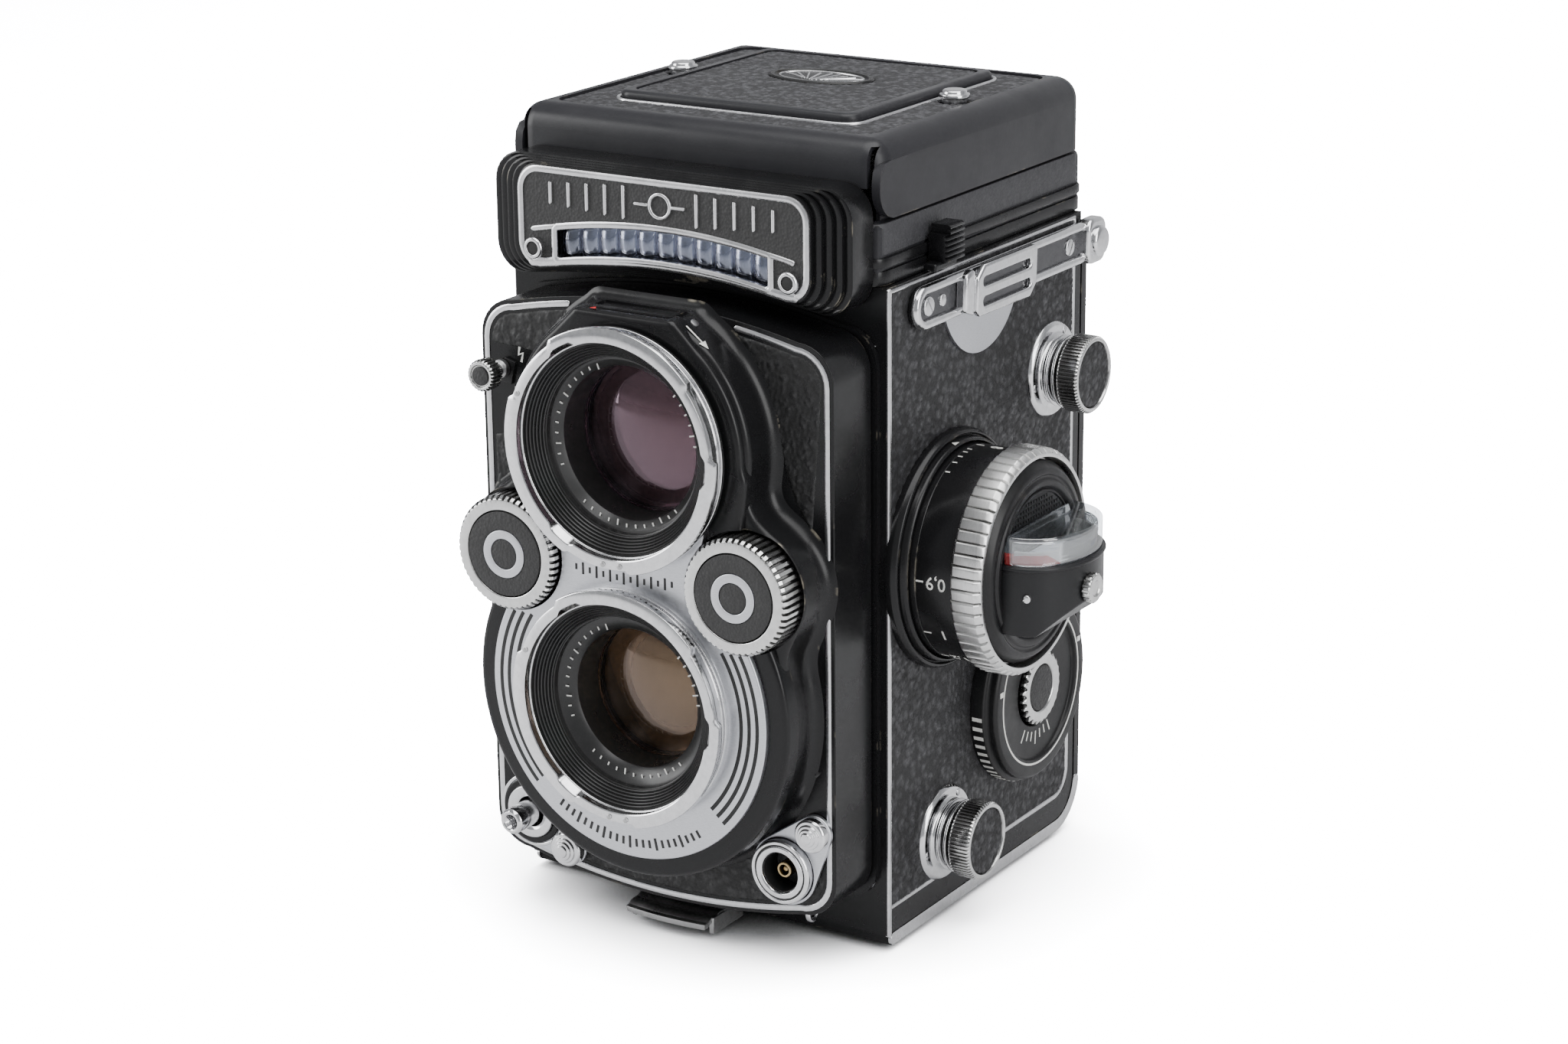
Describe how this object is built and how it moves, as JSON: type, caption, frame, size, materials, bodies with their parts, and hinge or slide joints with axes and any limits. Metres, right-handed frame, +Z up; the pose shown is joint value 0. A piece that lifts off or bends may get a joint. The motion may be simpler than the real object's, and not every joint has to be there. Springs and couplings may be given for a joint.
{
  "type": "twin lens reflex camera",
  "caption": "Medium-format camera with stacked viewing and taking lenses on a sliding front, folding waist-level hood, side focusing knob, film crank and hinged back.",
  "frame": {"origin": "on the flat rim of the tripod bush, 6.5 mm in front of the centre of its hole, in the plane that the feet stand on and in the plane of the two lens axes", "axes": "+Z up, the lenses look along -Y, the focusing knob is on the +X side"},
  "size_m": [0.1193, 0.1063, 0.1504],
  "materials": {
    "black_enamel": "glossy black enamel, worn bright on a few edges",
    "black_plastic": "black moulded plastic",
    "chrome": "polished chrome plate",
    "satin_silver": "fine brushed satin silver",
    "knurled_silver": "chrome plate with a cut knurl",
    "matt_black": "matt black anti-reflection paint",
    "coated_glass": "coated lens glass, purple and amber reflections",
    "clear_plastic": "clear moulded window",
    "mirror": "first-surface mirror",
    "steel": "bright steel",
    "red_paint": "red paint"
  },
  "bodies": {
    "camera_body": {"body_casting": "black_enamel", "reflex_mirror": "mirror", "focusing_screen": "clear_plastic", "hood_base": "black_enamel", "meter_housing": "black_enamel", "meter_frame": "chrome", "meter_window": "clear_plastic", "left_strap_fitting": "chrome", "right_strap_fitting": "chrome", "upper_spool_flange": "chrome", "lower_spool_flange": "chrome", "focus_flange": "black_enamel", "readout_housing": "black_plastic", "readout_window": "clear_plastic", "tripod_socket": "steel", "crank_plate": "black_enamel"},
    "front_standard": {"lens_board": "black_enamel", "shutter_housing": "black_enamel", "face_plate": "satin_silver", "taking_bayonet": "chrome", "viewing_bayonet": "chrome", "taking_barrel": "matt_black", "viewing_barrel": "matt_black", "taking_front_glass": "coated_glass", "viewing_front_glass": "coated_glass", "shutter_blades": "steel", "sync_socket": "chrome"},
    "hood_lid": {"hood_lid": "black_enamel", "finder_flap": "black_enamel", "magnifier": "coated_glass"},
    "back": {"back_door": "black_enamel", "pressure_plate": "steel"},
    "left_wing": {"left_wing": "black_enamel"},
    "right_wing": {"right_wing": "black_enamel"},
    "rear_hood_panel": {"rear_hood_panel": "black_enamel"},
    "left_hood_catch": {"left_hood_catch": "black_enamel"},
    "right_hood_catch": {"right_hood_catch": "black_enamel"},
    "film_speed_dial": {"film_speed_dial": "black_plastic"},
    "takeup_spool": {"takeup_spool": "black_plastic"},
    "crank_handle": {"crank_handle": "black_plastic"},
    "release_button": {"release_button": "chrome"},
    "release_lock": {"release_lock": "chrome"},
    "sync_lock": {"sync_lock": "chrome"},
    "left_lid_button": {"left_lid_button": "chrome"},
    "right_lid_button": {"right_lid_button": "chrome"},
    "crank_arm": {"crank_arm": "chrome"},
    "back_latch": {"back_latch": "satin_silver"},
    "focus_knob": {"focus_knob": "knurled_silver"},
    "upper_spool_knob": {"upper_spool_knob": "knurled_silver"},
    "lower_spool_knob": {"lower_spool_knob": "knurled_silver"},
    "compensation_knob": {"compensation_knob": "knurled_silver"},
    "aperture_wheel": {"aperture_wheel": "knurled_silver"},
    "speed_wheel": {"speed_wheel": "knurled_silver"},
    "timer_lever": {"timer_lever": "knurled_silver"},
    "counter_disc": {"counter_disc": "clear_plastic"},
    "upper_spool_shaft": {"upper_spool_shaft": "steel"},
    "lower_spool_shaft": {"lower_spool_shaft": "steel"},
    "lower_roller": {"lower_roller": "steel"},
    "upper_roller": {"upper_roller": "steel"},
    "meter_needle": {"meter_needle": "red_paint"}
  },
  "joints": [
    {"name": "focus_slide", "type": "slide", "parent": "camera_body", "child": "front_standard", "axis": [0, -1, 0], "range_m": [0, 0.007]},
    {"name": "focus_turn", "type": "hinge", "parent": "camera_body", "child": "focus_knob", "pos_m": [0, -0.01583, 0.07148], "axis": [1, 0, 0], "range_deg": [0, 270]},
    {"name": "aperture_turn", "type": "hinge", "parent": "front_standard", "child": "aperture_wheel", "pos_m": [-0.02424, -0.06, 0.07273], "axis": [0, -1, 0], "range_deg": [0, 150]},
    {"name": "speed_turn", "type": "hinge", "parent": "front_standard", "child": "speed_wheel", "pos_m": [0.02424, -0.06, 0.07273], "axis": [0, -1, 0], "range_deg": [-225, 0]},
    {"name": "release_press", "type": "slide", "parent": "front_standard", "child": "release_button", "axis": [0, 1, 0], "range_m": [0, 0.0025]},
    {"name": "release_lock_swing", "type": "hinge", "parent": "front_standard", "child": "release_lock", "pos_m": [-0.0282, -0.05055, 0.019], "axis": [0, -1, 0], "range_deg": [-40, 0]},
    {"name": "sync_lock_swing", "type": "hinge", "parent": "front_standard", "child": "sync_lock", "pos_m": [0.0269, -0.05055, 0.0191], "axis": [0, -1, 0], "range_deg": [-35, 0]},
    {"name": "timer_swing", "type": "hinge", "parent": "front_standard", "child": "timer_lever", "pos_m": [0, -0.05055, 0.09555], "axis": [0, -1, 0], "range_deg": [0, 22]},
    {"name": "upper_spool_pull", "type": "slide", "parent": "camera_body", "child": "upper_spool_shaft", "axis": [1, 0, 0], "range_m": [0, 0.006]},
    {"name": "upper_spool_turn", "type": "hinge", "parent": "upper_spool_shaft", "child": "upper_spool_knob", "pos_m": [0.045, 0.0224, 0.0957], "axis": [1, 0, 0], "continuous": true},
    {"name": "lower_spool_pull", "type": "slide", "parent": "camera_body", "child": "lower_spool_shaft", "axis": [1, 0, 0], "range_m": [0, 0.006]},
    {"name": "lower_spool_turn", "type": "hinge", "parent": "lower_spool_shaft", "child": "lower_spool_knob", "pos_m": [0.045, -0.0168, 0.0168], "axis": [1, 0, 0], "continuous": true},
    {"name": "film_speed_turn", "type": "hinge", "parent": "camera_body", "child": "film_speed_dial", "pos_m": [0.04, 0.0112, 0.037], "axis": [1, 0, 0], "range_deg": [-140, 140]},
    {"name": "compensation_turn", "type": "hinge", "parent": "camera_body", "child": "compensation_knob", "pos_m": [0.04, 0.0112, 0.037], "axis": [1, 0, 0], "range_deg": [-90, 90]},
    {"name": "needle_swing", "type": "hinge", "parent": "camera_body", "child": "meter_needle", "pos_m": [0.0597, -0.01583, 0.07308], "axis": [0, 0, 1], "range_deg": [-35, 35]},
    {"name": "lid_open", "type": "hinge", "parent": "camera_body", "child": "hood_lid", "pos_m": [0, -0.033, 0.1453], "axis": [1, 0, 0], "range_deg": [0, 90]},
    {"name": "left_button_press", "type": "slide", "parent": "hood_lid", "child": "left_lid_button", "axis": [0, 0, -1], "range_m": [0, 0.001]},
    {"name": "right_button_press", "type": "slide", "parent": "hood_lid", "child": "right_lid_button", "axis": [0, 0, -1], "range_m": [0, 0.001]},
    {"name": "left_wing_rise", "type": "hinge", "parent": "camera_body", "child": "left_wing", "pos_m": [-0.034, 0, 0.1276], "axis": [0, -1, 0], "range_deg": [0, 90]},
    {"name": "right_wing_rise", "type": "hinge", "parent": "camera_body", "child": "right_wing", "pos_m": [0.034, 0, 0.1276], "axis": [0, 1, 0], "range_deg": [0, 90]},
    {"name": "rear_panel_rise", "type": "hinge", "parent": "camera_body", "child": "rear_hood_panel", "pos_m": [0, 0.0332, 0.1312], "axis": [-1, 0, 0], "range_deg": [0, 90]},
    {"name": "left_catch_slide", "type": "slide", "parent": "camera_body", "child": "left_hood_catch", "axis": [0, 1, 0], "range_m": [0, 0.003]},
    {"name": "right_catch_slide", "type": "slide", "parent": "camera_body", "child": "right_hood_catch", "axis": [0, 1, 0], "range_m": [0, 0.003]},
    {"name": "back_open", "type": "hinge", "parent": "camera_body", "child": "back", "pos_m": [0, 0.0358, 0.1196], "axis": [1, 0, 0], "range_deg": [0, 95]},
    {"name": "latch_swing", "type": "hinge", "parent": "back", "child": "back_latch", "pos_m": [0, -0.0221, 0.00045], "axis": [1, 0, 0], "range_deg": [0, 60]},
    {"name": "crank_turn", "type": "hinge", "parent": "camera_body", "child": "crank_arm", "pos_m": [-0.042, -0.004, 0.066], "axis": [-1, 0, 0], "range_deg": [-190, 190]},
    {"name": "crank_handle_fold", "type": "hinge", "parent": "crank_arm", "child": "crank_handle", "pos_m": [-0.04384, -0.004, 0.0336], "axis": [0, -1, 0], "range_deg": [0, 90]},
    {"name": "takeup_turn", "type": "hinge", "parent": "camera_body", "child": "takeup_spool", "pos_m": [0, 0.0224, 0.0957], "axis": [-1, 0, 0], "range_deg": [-195, 195]},
    {"name": "lower_roller_turn", "type": "hinge", "parent": "camera_body", "child": "lower_roller", "pos_m": [0, 0.03, 0.0146], "axis": [1, 0, 0], "continuous": true},
    {"name": "upper_roller_turn", "type": "hinge", "parent": "camera_body", "child": "upper_roller", "pos_m": [0, 0.0306, 0.08], "axis": [1, 0, 0], "continuous": true},
    {"name": "counter_turn", "type": "hinge", "parent": "camera_body", "child": "counter_disc", "pos_m": [-0.03924, -0.004, 0.094], "axis": [-1, 0, 0], "range_deg": [0, 330]}
  ],
  "couplings": [
    {"joint": "focus_turn", "follows": "focus_slide", "rad_per_m": 673.2},
    {"joint": "left_wing_rise", "follows": "lid_open", "ratio": 1},
    {"joint": "right_wing_rise", "follows": "lid_open", "ratio": 1},
    {"joint": "rear_panel_rise", "follows": "lid_open", "ratio": 1},
    {"joint": "takeup_turn", "follows": "crank_turn", "ratio": 1}
  ]
}
